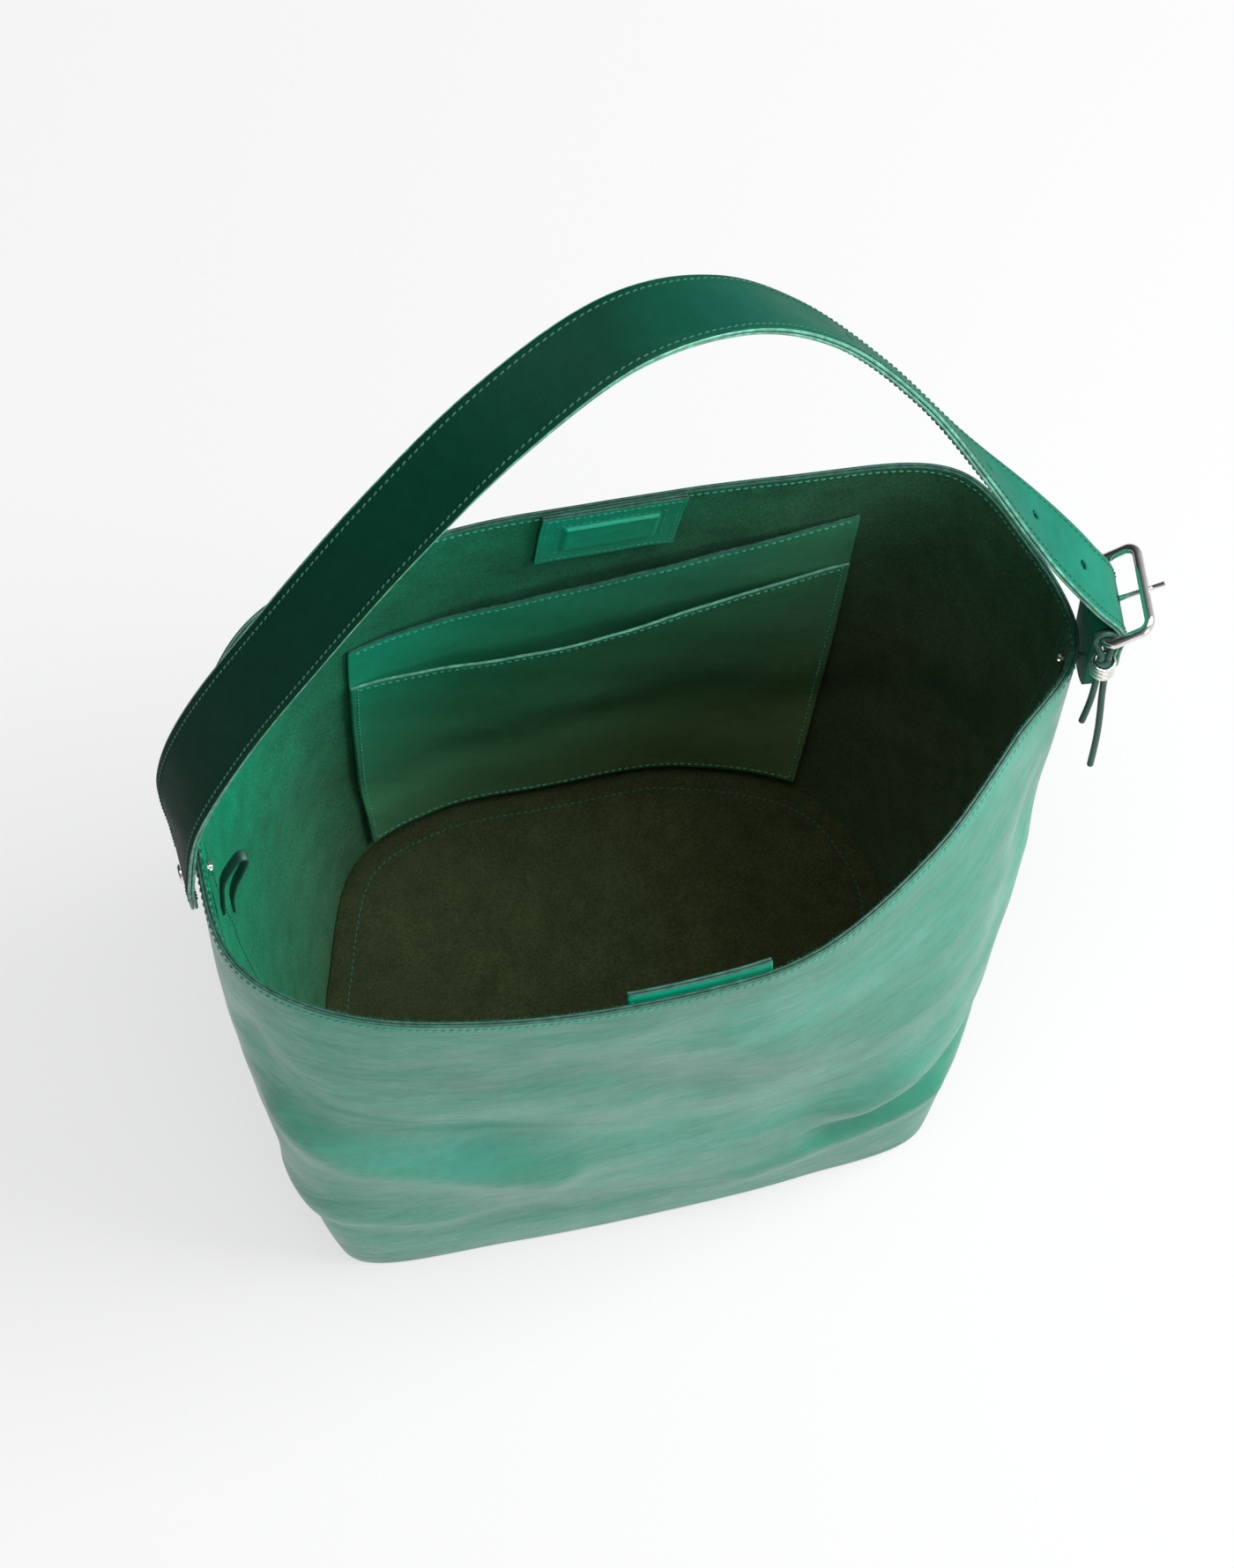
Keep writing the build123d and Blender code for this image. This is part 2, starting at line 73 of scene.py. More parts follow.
# Ribs of the wall: (x, y) at the base, a belly control point, and at the rim. Rib 0 is the
# right seam, 1-7 go round the back, 8 is the left seam and 9-15 the front.
RIBS = np.array([
    ((148, -14), (203, -16), (213.6, -14)),
    ((152, 34), (192, 36), (208, 40)),
    ((130, 80), (164, 90), (184, 84)),
    ((70, 110), (92, 110), (112, 98)),
    ((4, 116), (20, 116), (36, 106)),
    ((-50, 117), (-50, 118), (-44, 109)),
    ((-96, 98), (-116, 100), (-122, 92)),
    ((-122, 42), (-152, 42), (-162, 42)),
    ((-138, -14), (-172, -14), (-173, -14)),
    ((-145, -62), (-180, -66), (-168, -66)),
    ((-138, -100), (-158, -106), (-128, -101)),
    ((-68, -109), (-66, -120), (-62, -121)),
    ((6, -113), (10, -124), (14, -128)),
    ((72, -113), (72, -124), (70, -122)),
    ((132, -106), (154, -106), (128, -91)),
    ((146, -62), (200, -64), (176, -50)),
], dtype=float)
RIB_SPACING = 62.0       # mean distance between ribs round the wall
LEFT_SEAM, ROUND = 8.0, 16.0

# Stations of the strap's middle: x, y, z and the twist of its width in degrees.
LEFT_END_X = -177.6
TAIL_XY = (226.7, -12.9)
TAIL_Z = 304.0
TAIL_TIP = 13.0
STRAP_PATH = np.array([
    (LEFT_END_X, PIVOT_Y, 268, 0),
    (LEFT_END_X, PIVOT_Y, 286, 0),
    (LEFT_END_X, PIVOT_Y, 304, 2),
    (-174.0, -10, 348, 20),
    (-153.5, -8, 400, 40),
    (-119, -4, 455, 46),
    (-76, 6, 505, 42),
    (-28, 21, 541, 28),
    (24, 39, 554, 6),
    (70, 50, 538, -14),
    (108, 52, 504, -25),
    (142, 42, 460, -24),
    (170, 25, 416, -14),
    (195, 7, 380, 4),
    (214.5, -9.8, 354, 10),
    (*TAIL_XY, 331, 8),
    (*TAIL_XY, 311, 8),
    (*TAIL_XY, 291, 8),
], dtype=float)

FOLD_GAIN = 2.0
# Soft folds of the wall: from (rib, height) to (rib, height), half width and height in mm.
FOLDS = [
    (9.1, 235, 10.9, 150, 20, -2.6),
    (10.9, 150, 13.0, 112, 26, -2.4),
    (9.5, 180, 11.2, 96, 14, 2.0),
    (9.3, 92, 10.6, 62, 14, 1.7),
    (10.0, 54, 11.8, 42, 16, -1.3),
    (15.4, 236, 13.9, 118, 17, -2.8),
    (15.0, 196, 13.4, 84, 15, 2.4),
    (14.7, 106, 13.2, 58, 11, -2.6),
    (13.9, 62, 12.6, 34, 10, 1.9),
    (12.3, 228, 13.4, 168, 24, 1.6),
    (11.3, 236, 12.0, 186, 18, -1.3),
    (0.7, 210, 2.0, 120, 24, -1.4),
    (1.2, 150, 2.6, 66, 20, 1.2),
    (7.0, 215, 6.1, 110, 22, -1.2),
    (6.4, 120, 5.4, 60, 18, 0.9),
    (3.0, 90, 5.0, 70, 22, 1.2),
]


# ---- curves and surfaces ----
def smooth(a, b, c, d, t):
    """One span of a Catmull-Rom curve, from b to c."""
    square, cube = 2 * a - 5 * b + 4 * c - d, 3 * b - a - 3 * c + d
    return 0.5 * (2 * b + (c - a) * t + square * t**2 + cube * t**3)


def ease(low, high, x):
    t = np.clip((x - low) / (high - low), 0, 1)
    return t * t * (3 - 2 * t)


def wall_xy(u, z):
    """The wall's outside at rib number u and height z."""
    i = np.floor(u).astype(int)
    v = (z / MOUTH_Z)[..., None]
    ribs = [RIBS[(i + k) % len(RIBS)] for k in (-1, 0, 1, 2)]
    near = [(1 - v) ** 2 * r[..., 0, :] + 2 * v * (1 - v) * r[..., 1, :] + v**2 * r[..., 2, :] for r in ribs]
    return smooth(*near, (u - i)[..., None])


def fold(u, z):
    """How far the leather stands out of its plain shape, in mm."""
    across = np.mod(u, ROUND)
    total = 0.7 * np.sin(across * 2.9 + z * 0.021) * np.sin(z * 0.034 - across * 1.3 + 0.8)
    total = total + 0.25 * np.sin(across * 9.1 - z * 0.05) * np.sin(z * 0.09 + across * 4.2)
    for u0, z0, u1, z1, width, height in FOLDS:
        run = np.array(((u1 - u0) * RIB_SPACING, z1 - z0))
        dx, dz = (across - u0) * RIB_SPACING, z - z0
        along = np.clip((dx * run[0] + dz * run[1]) / (run @ run), 0, 1)
        distance = np.hypot(dx - along * run[0], dz - along * run[1])
        total = total + FOLD_GAIN * height * np.exp(-((distance / width) ** 2))
    seam = np.minimum(np.abs(across - LEFT_SEAM), np.minimum(across, ROUND - across))
    calm = 1 - (1 - ease(0.25, 1.1, seam)) * ease(190, 240, z)
    calm = calm * (1 - 0.75 * (1 - ease(0.6, 1.8, seam)) * (1 - ease(70, 150, z)))
    return total * ease(2, 62, z) * (1 - ease(258, 298, z)) * calm


def wall_point(u, z, inset):
    """Points on the folded wall, inset inwards from its outside, and the inward direction."""
    u, z = np.broadcast_arrays(np.asarray(u, float), np.asarray(z, float))
    here = wall_xy(u, z)
    run = wall_xy(u + 0.01, z) - here
    run /= np.linalg.norm(run, axis=-1, keepdims=True)
    inward = np.stack((-run[..., 1], run[..., 0], np.zeros_like(z)), axis=-1)
    point = np.concatenate((here, z[..., None]), axis=-1)
    return point + inward * (inset - fold(u, z))[..., None], inward


def strap_frame(s):
    """Middle, run and width direction of the strap at fraction s of its stations."""
    spans = len(STRAP_PATH) - 1
    first, last = 2 * STRAP_PATH[0] - STRAP_PATH[1], 2 * STRAP_PATH[-1] - STRAP_PATH[-2]
    path = np.vstack((first, STRAP_PATH, last))
    i = np.minimum((s * spans).astype(int), spans - 1)
    t = (s * spans - i)[:, None]
    near = [path[i + k] for k in range(4)]
    here, ahead, behind = (smooth(*near, t + d) for d in (0, 0.01, -0.01))
    run = ahead[:, :3] - behind[:, :3]
    run /= np.linalg.norm(run, axis=1, keepdims=True)
    level = np.array((0, 1.0, 0)) - run * run[:, 1:2]
    level /= np.linalg.norm(level, axis=1, keepdims=True)
    twist = np.radians(here[:, 3:4])
    width = level * np.cos(twist) + np.cross(run, level) * np.sin(twist)
    return here[:, :3], run, width


def strap_fraction(distances):
    """Fractions of the strap at distances in mm along it."""
    s = np.linspace(0, 1, 3000)
    middle = strap_frame(s)[0]
    along = np.concatenate(((0,), np.cumsum(np.linalg.norm(np.diff(middle, axis=0), axis=1))))
    return np.interp(distances, along, s), along[-1]


# ---- mesh building ----
def mesh_object(name, points, faces, materials, face_materials=None):
    mesh = bpy.data.meshes.new(name)
    mesh.from_pydata((np.asarray(points) * MM).tolist(), [], faces)
    for material in materials:
        mesh.materials.append(material)
    if face_materials is not None:
        mesh.polygons.foreach_set("material_index", face_materials)
    mesh.polygons.foreach_set("use_smooth", [True] * len(mesh.polygons))
    bm = bmesh.new()
    bm.from_mesh(mesh)
    bmesh.ops.recalc_face_normals(bm, faces=bm.faces)
    bm.to_mesh(mesh)
    bm.free()
    obj = bpy.data.objects.new(name, mesh)
    bpy.context.collection.objects.link(obj)
    return obj


def place(obj, body, slot, *nodes):
    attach(obj, body)
    if nodes:
        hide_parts(*nodes)
    return obj


def loops_to_faces(rows, columns, closed=False):
    """Quads between rows of closed loops, numbered row by row."""
    faces = []
    for r in range(rows if closed else rows - 1):
        a, b = r * columns, (r + 1) % rows * columns
        for c in range(columns):
            d = (c + 1) % columns
            faces.append((a + c, a + d, b + d, b + c))
    return faces


def tube(centres, radius, sides=20, closed=False):
    """Points and faces of a round tube along centres; radius may change along it."""
    centres = np.asarray(centres, float)
    ahead = np.roll(centres, -1, 0) - np.roll(centres, 1, 0)
    if not closed:
        ahead[0], ahead[-1] = centres[1] - centres[0], centres[-1] - centres[-2]
    ahead /= np.linalg.norm(ahead, axis=1, keepdims=True)
    side = np.cross(ahead[0], (0.3, 0.2, 1.0))
    rings = []
    for centre, run, r in zip(centres, ahead, np.broadcast_to(radius, len(centres))):
        side = side - run * (side @ run)
        side /= np.linalg.norm(side)
        other = np.cross(run, side)
        turn = np.linspace(0, 2 * math.pi, sides, endpoint=False)[:, None]
        rings.append(centre + r * (side * np.cos(turn) + other * np.sin(turn)))
    faces = loops_to_faces(len(centres), sides, closed)
    if not closed:
        last = (len(centres) - 1) * sides
        faces += [tuple(reversed(range(sides))), tuple(range(last, last + sides))]
    return np.concatenate(rings), faces


def ply_profile(rows, corner):
    """A ply's cross-section as a closed loop: which face a point is measured from, how far
    inwards of it, its share of the height, and its lift in mm above that."""
    arc = np.radians((30, 60, 90))
    face = np.linspace(0, 1, rows + 1)
    flat, bend, lift = np.zeros(rows + 1), corner * (1 - np.cos(arc)), corner * np.sin(arc)
    side = np.concatenate((flat, flat[:3], flat[:3] + 1, flat + 1, flat[:3] + 1, flat[:3]))
    inwards = np.concatenate((flat, bend, -bend[::-1], flat, -bend, bend[::-1]))
    share = np.concatenate((face, (1, 1, 1, 1, 1, 1), face[::-1], (0, 0, 0, 0, 0, 0)))
    rise = np.concatenate((flat, lift, lift[::-1], flat, -lift, -lift[::-1]))
    return side, inwards, share, rise


def ply(name, span, bottom, top, outer, inner, columns, rows, materials, corner=0.45):
    """A ply of leather on the wall. span gives its two ends in ribs at each height, bottom and
    top its heights along it, outer and inner its depths. Materials: outside, edge, inside."""
    side, inwards, share, rise = ply_profile(rows, corner)
    t = np.linspace(0, 1, columns + 1)[:, None]
    low, high = (np.broadcast_to(np.asarray(h, float), columns + 1)[:, None] for h in (bottom, top))
    z = low + corner + (high - low - 2 * corner) * share + rise
    start, end = span(z)
    u = start + (end - start) * t
    depths = [d(u, z) if callable(d) else d for d in (outer, inner)]
    depth = np.where(side == 0, depths[0], depths[1]) + inwards
    points = wall_point(u, z, depth)[0].reshape(-1, 3)
    count = len(side)
    faces = loops_to_faces(columns + 1, count)
    kinds = np.full(count, 1)
    kinds[:rows] = 0
    kinds[rows + 7 : 2 * rows + 7] = 2
    face_kinds = list(np.tile(kinds, columns))
    pairs = [(2 * rows + 11 + k, 2 * rows + 10 - k) for k in range(3)]
    pairs += [(k, 2 * rows + 7 - k) for k in range(rows + 1)]
    pairs += [(rows + 1 + k, rows + 6 - k) for k in range(3)]
    for first in (0, columns * count):
        for (a, b), (c, d) in zip(pairs, pairs[1:]):
            faces.append((first + a, first + c, first + d, first + b))
            face_kinds.append(1)
    return mesh_object(name, points, faces, materials, face_kinds)


def stitch_row(name, points, normals, material, pitch=3.4, length=2.5, radius=0.42, slant=7.0):
    """Thread stitches along a line of points: short capsules whose ends dip into the leather."""
    points, normals = np.asarray(points), np.asarray(normals)
    along = np.concatenate(((0,), np.cumsum(np.linalg.norm(np.diff(points, axis=0), axis=1))))
    count = max(1, int(along[-1] / pitch))
    marks = (np.arange(count) + 0.5) * along[-1] / count
    centre, normal, ahead, behind = (
        np.stack([np.interp(m, along, source[:, k]) for k in range(3)], axis=1)
        for m, source in ((marks, points), (marks, normals), (marks + 0.6, points), (marks - 0.6, points))
    )
    run = ahead - behind
    run /= np.linalg.norm(run, axis=1, keepdims=True)
    normal -= run * np.sum(normal * run, axis=1, keepdims=True)
    normal /= np.linalg.norm(normal, axis=1, keepdims=True)
    side = np.cross(normal, run)
    tilt = math.radians(slant)
    run, side = run * math.cos(tilt) + side * math.sin(tilt), side * math.cos(tilt) - run * math.sin(tilt)
    rings = ((-1.0, 0.30), (-0.82, 0.75), (-0.4, 1.0), (0.0, 1.05), (0.4, 1.0), (0.82, 0.75), (1.0, 0.30))
    sides = 7
    turn = np.linspace(0, 2 * math.pi, sides, endpoint=False)
    blocks = []
    for place_on, size in rings:
        middle = centre + run * (place_on * length / 2) + normal * (radius * (0.45 - 0.95 * place_on**4))
        ring = middle[:, None] + size * radius * (
            side[:, None] * np.cos(turn)[None, :, None] + normal[:, None] * np.sin(turn)[None, :, None] * 0.8
        )
        blocks.append(ring)
    vertices = np.stack(blocks, axis=1)
    one = loops_to_faces(len(rings), sides)
    last = (len(rings) - 1) * sides
    one += [tuple(reversed(range(sides))), tuple(range(last, last + sides))]
    size = len(rings) * sides
    faces = [tuple(v + k * size for v in face) for k in range(count) for face in one]
    return mesh_object(name, vertices.reshape(-1, 3), faces, [material])


def wall_line(corners, depth, inside, steps=60):
    """Points and normals of a line on the wall through (rib, height) corners."""
    u, z = [], []
    for (u0, z0), (u1, z1) in zip(corners, corners[1:]):
        share = np.linspace(0, 1, steps, endpoint=False)
        u.append(u0 + (u1 - u0) * share)
        z.append(z0 + (z1 - z0) * share)
    u, z = np.concatenate(u + [[corners[-1][0]]]), np.concatenate(z + [[corners[-1][1]]])
    level = depth(u, z) if callable(depth) else depth
    points, inward = wall_point(u, z, level)
    return points, inward if inside else -inward


# ---- materials ----
def new_material(name, color, roughness):
    material = bpy.data.materials.new(name)
    material.use_nodes = True
    shader = material.node_tree.nodes["Principled BSDF"]
    shader.inputs["Base Color"].default_value = (*color, 1)
    shader.inputs["Roughness"].default_value = roughness
    return material, material.node_tree.nodes, material.node_tree.links, shader


def noise(nodes, links, scale, detail=3.0, stretch=(1, 1, 1), turn=(0, 0, 0), roughness=0.55):
    """A noise texture in the object's own metres, stretched and turned as asked."""
    place_node = nodes.new("ShaderNodeTexCoord")
    mapping = nodes.new("ShaderNodeMapping")
    mapping.inputs["Scale"].default_value = stretch
    mapping.inputs["Rotation"].default_value = turn
    texture = nodes.new("ShaderNodeTexNoise")
    texture.inputs["Scale"].default_value = scale
    texture.inputs["Detail"].default_value = detail
    texture.inputs["Roughness"].default_value = roughness
    links.new(place_node.outputs["Object"], mapping.inputs["Vector"])
    links.new(mapping.outputs["Vector"], texture.inputs["Vector"])
    return texture.outputs["Fac"]


def cells(nodes, links, scale):
    place_node = nodes.new("ShaderNodeTexCoord")
    texture = nodes.new("ShaderNodeTexVoronoi")
    texture.feature = "SMOOTH_F1"
    texture.inputs["Scale"].default_value = scale
    links.new(place_node.outputs["Object"], texture.inputs["Vector"])
    return texture.outputs["Distance"]


def ramp(nodes, links, source, stops):
    node = nodes.new("ShaderNodeValToRGB")
    while len(node.color_ramp.elements) < len(stops):
        node.color_ramp.elements.new(0.5)
    for element, (position, color) in zip(node.color_ramp.elements, stops):
        element.position = position
        element.color = (*color, 1)
    links.new(source, node.inputs["Fac"])
    return node.outputs["Color"]


def spread(nodes, links, source, low, high, from_low=0.3, from_high=0.7):
    node = nodes.new("ShaderNodeMapRange")
    node.inputs["From Min"].default_value = from_low
    node.inputs["From Max"].default_value = from_high
    node.inputs["To Min"].default_value = low
    node.inputs["To Max"].default_value = high
    links.new(source, node.inputs["Value"])
    return node.outputs["Result"]


def mix(nodes, links, factor, a, b, kind="MIX"):
    node = nodes.new("ShaderNodeMix")
    node.data_type = "RGBA"
    node.blend_type = kind
    if isinstance(factor, float):
        node.inputs["Factor"].default_value = factor
    else:
        links.new(factor, node.inputs["Factor"])
    for socket, value in ((node.inputs[6], a), (node.inputs[7], b)):
        if isinstance(value, tuple):
            socket.default_value = (*value, 1)
        else:
            links.new(value, socket)
    return node.outputs[2]


def bumps(nodes, links, shader, layers):
    """Bump layers of (height, depth in mm), each on top of the one before."""
    below = None
    for height, depth in layers:
        node = nodes.new("ShaderNodeBump")
        node.inputs["Distance"].default_value = depth * MM
        links.new(height, node.inputs["Height"])
        if below is not None:
            links.new(below, node.inputs["Normal"])
        below = node.outputs["Normal"]
    links.new(below, shader.inputs["Normal"])


def slope(nodes, links, direction, low, high):
    """From 0 to 1 along a direction of the object's own space, between two distances in metres."""
    place_node = nodes.new("ShaderNodeTexCoord")
    dot = nodes.new("ShaderNodeVectorMath")
    dot.operation = "DOT_PRODUCT"
    dot.inputs[1].default_value = direction
    links.new(place_node.outputs["Object"], dot.inputs[0])
    return spread(nodes, links, dot.outputs["Value"], 0, 1, low, high)


def smooth_leather(
    name, dark, light, roughness, wrinkle=0.5, cloud=14, drift=(1, 1, 1), gloss=0.5, shade=None
):
    """Grain leather: fine pores, soft wrinkles and a clouded dye. shade gives a direction, two
    distances along it in metres, and the darker tone painted before the first of them: painted
    shade, as of light falling from one side."""
    material, nodes, links, shader = new_material(name, light, roughness)
    clouds = noise(nodes, links, cloud, 4, drift, (0.8, 0.6, 0))
    fine = noise(nodes, links, 160, 3)
    shader.inputs["Specular IOR Level"].default_value = gloss
    color = ramp(nodes, links, clouds, ((0.32, dark), (0.68, light)))
    # painted shade: the colour goes to the darker tone along the given direction
    if shade is not None:
        direction, low, high, tone = shade
        color = mix(nodes, links, slope(nodes, links, direction, low, high), tone, color)
    speck = spread(nodes, links, fine, 0.9, 1.06)
    node = nodes.new("ShaderNodeVectorMath")
    node.operation = "SCALE"
    links.new(color, node.inputs[0])
    links.new(speck, node.inputs["Scale"])
    links.new(node.outputs["Vector"], shader.inputs["Base Color"])
    patches = spread(nodes, links, noise(nodes, links, 45, 3), roughness - 0.05, roughness + 0.07)
    links.new(patches, shader.inputs["Roughness"])
    lines = noise(nodes, links, 44, 5, (1, 1, 2.6), (0.9, 0.6, 0), 0.62)
    drape = noise(nodes, links, 17, 3, (1, 1, 2.4), (-0.7, -0.5, 0.4), 0.5)
    pores = cells(nodes, links, 1100)
    bumps(nodes, links, shader, ((drape, wrinkle * 3.2), (lines, wrinkle), (fine, 0.09), (pores, 0.07)))
    return material


def suede(name, dark, light, direction=(0, 0, 1), low=0.0, high=0.3, nap=0.35):
    """Flesh-side leather: matt, short fibres, mottled, and with painted shade: darker where the slope starts,
    as where less light falls.
    """
    material, nodes, links, shader = new_material(name, light, 0.95)
    mottle = noise(nodes, links, 55, 5, roughness=0.7)
    fibre = noise(nodes, links, 900, 3, roughness=0.7)
    tone = mix(nodes, links, slope(nodes, links, direction, low, high), dark, light)
    spots = ramp(nodes, links, mottle, ((0.3, (0.72, 0.72, 0.72)), (0.7, (1.18, 1.18, 1.18))))
    specks = ramp(nodes, links, fibre, ((0.35, (0.62, 0.62, 0.62)), (0.65, (1.3, 1.3, 1.3))))
    color = mix(nodes, links, 1.0, mix(nodes, links, 1.0, tone, spots, "MULTIPLY"), specks, "MULTIPLY")
    links.new(color, shader.inputs["Base Color"])
    clumps = noise(nodes, links, 330, 4, roughness=0.7)
    bumps(nodes, links, shader, ((mottle, 0.4), (clumps, nap), (fibre, 0.12)))
    shader.inputs["Sheen Weight"].default_value = 0.08
    shader.inputs["Sheen Roughness"].default_value = 0.5
    shader.inputs["Sheen Tint"].default_value = (0.5, 0.9, 0.7, 1)
    shader.inputs["Specular IOR Level"].default_value = 0.08
    return material


def painted_edge(name, color):
    material, nodes, links, shader = new_material(name, color, 0.42)
    wear = noise(nodes, links, 260, 3)
    light = tuple(min(1.0, c * 2.2 + 0.01) for c in color)
    links.new(ramp(nodes, links, wear, ((0.4, color), (0.75, light))), shader.inputs["Base Color"])
    bumps(nodes, links, shader, ((noise(nodes, links, 420, 2), 0.15),))
    return material


def thread_material(name, color):
    material, nodes, links, shader = new_material(name, color, 0.6)
    twist = nodes.new("ShaderNodeTexWave")
    twist.inputs["Scale"].default_value = 900
    twist.inputs["Distortion"].default_value = 1.5
    place_node = nodes.new("ShaderNodeTexCoord")
    links.new(place_node.outputs["Object"], twist.inputs["Vector"])
    dark = tuple(c * 0.55 for c in color)
    tone = ramp(nodes, links, twist.outputs["Fac"], ((0.0, dark), (1.0, color)))
    links.new(tone, shader.inputs["Base Color"])
    bumps(nodes, links, shader, ((twist.outputs["Fac"], 0.08),))
    return material


def polished_metal(name, color, roughness):
    material, nodes, links, shader = new_material(name, color, roughness)
    shader.inputs["Metallic"].default_value = 1.0
    smudge = noise(nodes, links, 240, 4)
    links.new(spread(nodes, links, smudge, roughness * 0.7, roughness * 1.7), shader.inputs["Roughness"])
    scratches = noise(nodes, links, 300, 2, (1, 9, 1), (0.3, 0.2, 0.5))
    bumps(nodes, links, shader, ((scratches, 0.006),))
    return material


leather = smooth_leather("outer_leather", (0.004, 0.185, 0.110),
                         (0.034, 0.290, 0.200), 0.31, 0.7, 7, (1, 1, 2.6), gloss=0.55)
# Pocket and tab leather: painted shade, dark olive towards the lower right where less light falls, bright
# green towards the upper left.
calf = smooth_leather("pocket_leather", (0.001, 0.380, 0.210), (0.002, 0.480, 0.290), 0.42, 0.14, 10,
                      gloss=0.35, shade=((-0.62, 0, 0.78), -0.02, 0.23, (0.120, 0.170, 0.065)))
# Strap leather: painted shade, near black on the left leg, which faces away from the key light, and lighter
# towards the buckle on the right.
bridle = smooth_leather("strap_leather", (0.008, 0.130, 0.082), (0.012, 0.180, 0.118), 0.52, 0.08,
                        gloss=0.05, shade=((1, 0, 0), 0.02, 0.22, (0.0008, 0.027, 0.015)))
backing = smooth_leather("strap_backing", (0.002, 0.050, 0.030), (0.004, 0.080, 0.050), 0.5, 0.08, gloss=0.2)
# Lining suede: painted shade, bright green towards the upper left where the light falls in, dark olive
# towards the lower right of the inside.
lining_front = suede("suede_lining", (0.048, 0.062, 0.022), (0.001, 0.240, 0.120),
                     (-0.68, 0, 0.73), 0.0, 0.26)
# Floor suede: painted shade, the lining's suede given a dark olive-brown for the shade at the bottom of the
# bag, browner towards the right.
floor_suede = suede("floor_leather", (0.036, 0.042, 0.016), (0.028, 0.040, 0.017),
                      (-1, 0, 0), -0.1, 0.15)
lace_skin = smooth_leather("lace_leather", (0.008, 0.050, 0.036), (0.016, 0.080, 0.058), 0.5, 0.1)
fibre = new_material("fibre", (0.020, 0.230, 0.140), 0.9)[0]
edge = painted_edge("edge_paint", (0.006, 0.050, 0.034))
# A paler copy of the edge paint: on the front pocket's mouth it is a painted highlight of the lit edge, while
# the rear pocket's mouth, in shade, keeps the dark edge paint. It also colours the strap's edges.
pale_edge = painted_edge("pale_edge", (0.055, 0.190, 0.130))
thread = thread_material("thread", (0.060, 0.400, 0.270))
dark_thread = thread_material("dark_thread", (0.012, 0.130, 0.082))
nickel = polished_metal("nickel", (0.80, 0.79, 0.76), 0.10)


# ---- the bag ----
def rim_height(columns, seed):
    """The cut rim wavers by a few tenths of a millimetre."""
    t = np.linspace(0, 1, columns + 1)
    return MOUTH_Z - 0.25 + 0.18 * np.sin(t * 37 + seed) + 0.1 * np.sin(t * 91 + 2 * seed)


TURN = 2.2               # the leather turns under the base round this radius
RIM_STITCH_Z = 296.2
SEAM_HALF = 0.26         # half width of the strip over a seam, in ribs


def turned(depth):
    """A depth that pulls in where the leather turns under the base."""
    def at(u, z):
        short = np.clip(TURN - z, 0, TURN)
        return depth + TURN - np.sqrt(TURN**2 - short**2)
    return at


def build_walls():
    for side, (start, end) in {"back": (0.0, LEFT_SEAM), "front": (LEFT_SEAM, ROUND)}.items():
        columns, rows = 440, 150
        span = lambda z: (start, end)
        skin = ply(
            f"{side}_skin", span, 0.15, rim_height(columns, start), turned(0.0), turned(SKIN),
            columns, rows, [leather, edge, lining_front], 0.5,
        )
        place(skin, "bag", "outer_leather", f"{side}_panel")
        lining = ply(
            f"{side}_suede", span, BASE, rim_height(columns, start) - 0.2, SKIN + 0.1, WALL,
            columns, rows, [lining_front, edge, lining_front], 0.3,
        )
        place(lining, "bag", "suede_lining", f"{side}_lining")
        low, high = (start + 0.02, RIM_STITCH_Z), (end - 0.02, RIM_STITCH_Z)
        for name, depth, inside in (("outside", 0.0, False), ("inside", WALL, True)):
            line = wall_line([low, high], depth, inside, 900)
            row = stitch_row(f"{side}_rim_stitches_{name}", *line, thread)
            place(row, "bag", "outer_leather")
        for seam, step in ((start, 0.055), (end, -0.055)):
            line = wall_line([(seam + step, 10), (seam + step, 262)], 0.0, False, 160)
            row = stitch_row(f"{side}_seam_stitches_{int(seam)}", *line, dark_thread)
            place(row, "bag", "outer_leather")


def outline(z, inset, count):
    return wall_point(np.linspace(0, ROUND, count, endpoint=False), np.full(count, z), inset)[0]


def plate(name, low, high, inset, materials, sag=None, bevel=0.5):
    """A plate with the wall's outline: rings from its rim to its middle, on both faces."""
    count, rings = 288, 26
    rim = outline((low + high) / 2, inset, count)[:, :2]
    middle = rim.mean(axis=0)
    shares = np.linspace(0.0, 1.0, rings + 1)[1:]
    top = [middle + (rim - middle) * s for s in shares]
    inset_rim = middle + (rim - middle) * (1 - bevel / 120)
    top[-1] = inset_rim
    levels = [(loop, high) for loop in top] + [(rim, high - bevel), (rim, low + bevel)]
    levels += [(loop, low) for loop in reversed(top)]
    points = []
    for xy, z in levels:
        lift = sag(xy) if sag is not None else 0.0
        points.append(np.column_stack((xy, np.full(count, z) + lift)))
    faces = loops_to_faces(len(levels), count)
    last = (len(levels) - 1) * count
    faces += [tuple(reversed(range(count))), tuple(range(last, last + count))]
    kinds = [0] * (rings * count) + [1] * count + [2] * (len(faces) - (rings + 1) * count)
    return mesh_object(name, np.concatenate(points), faces, materials, kinds[: len(faces)])


def floor_sag(xy):
    """The stitched floor isn't quite flat: it is proud at the middle and creased to the right."""
    x, y = xy[:, 0], xy[:, 1]
    crease = np.exp(-(((x - 92 + 0.35 * y) / 7) ** 2)) * ease(-90, 60, y)
    return 0.9 * np.sin(x * 0.022 + 0.5) * np.sin(y * 0.026 + 1.1) + 1.4 * crease + 0.9


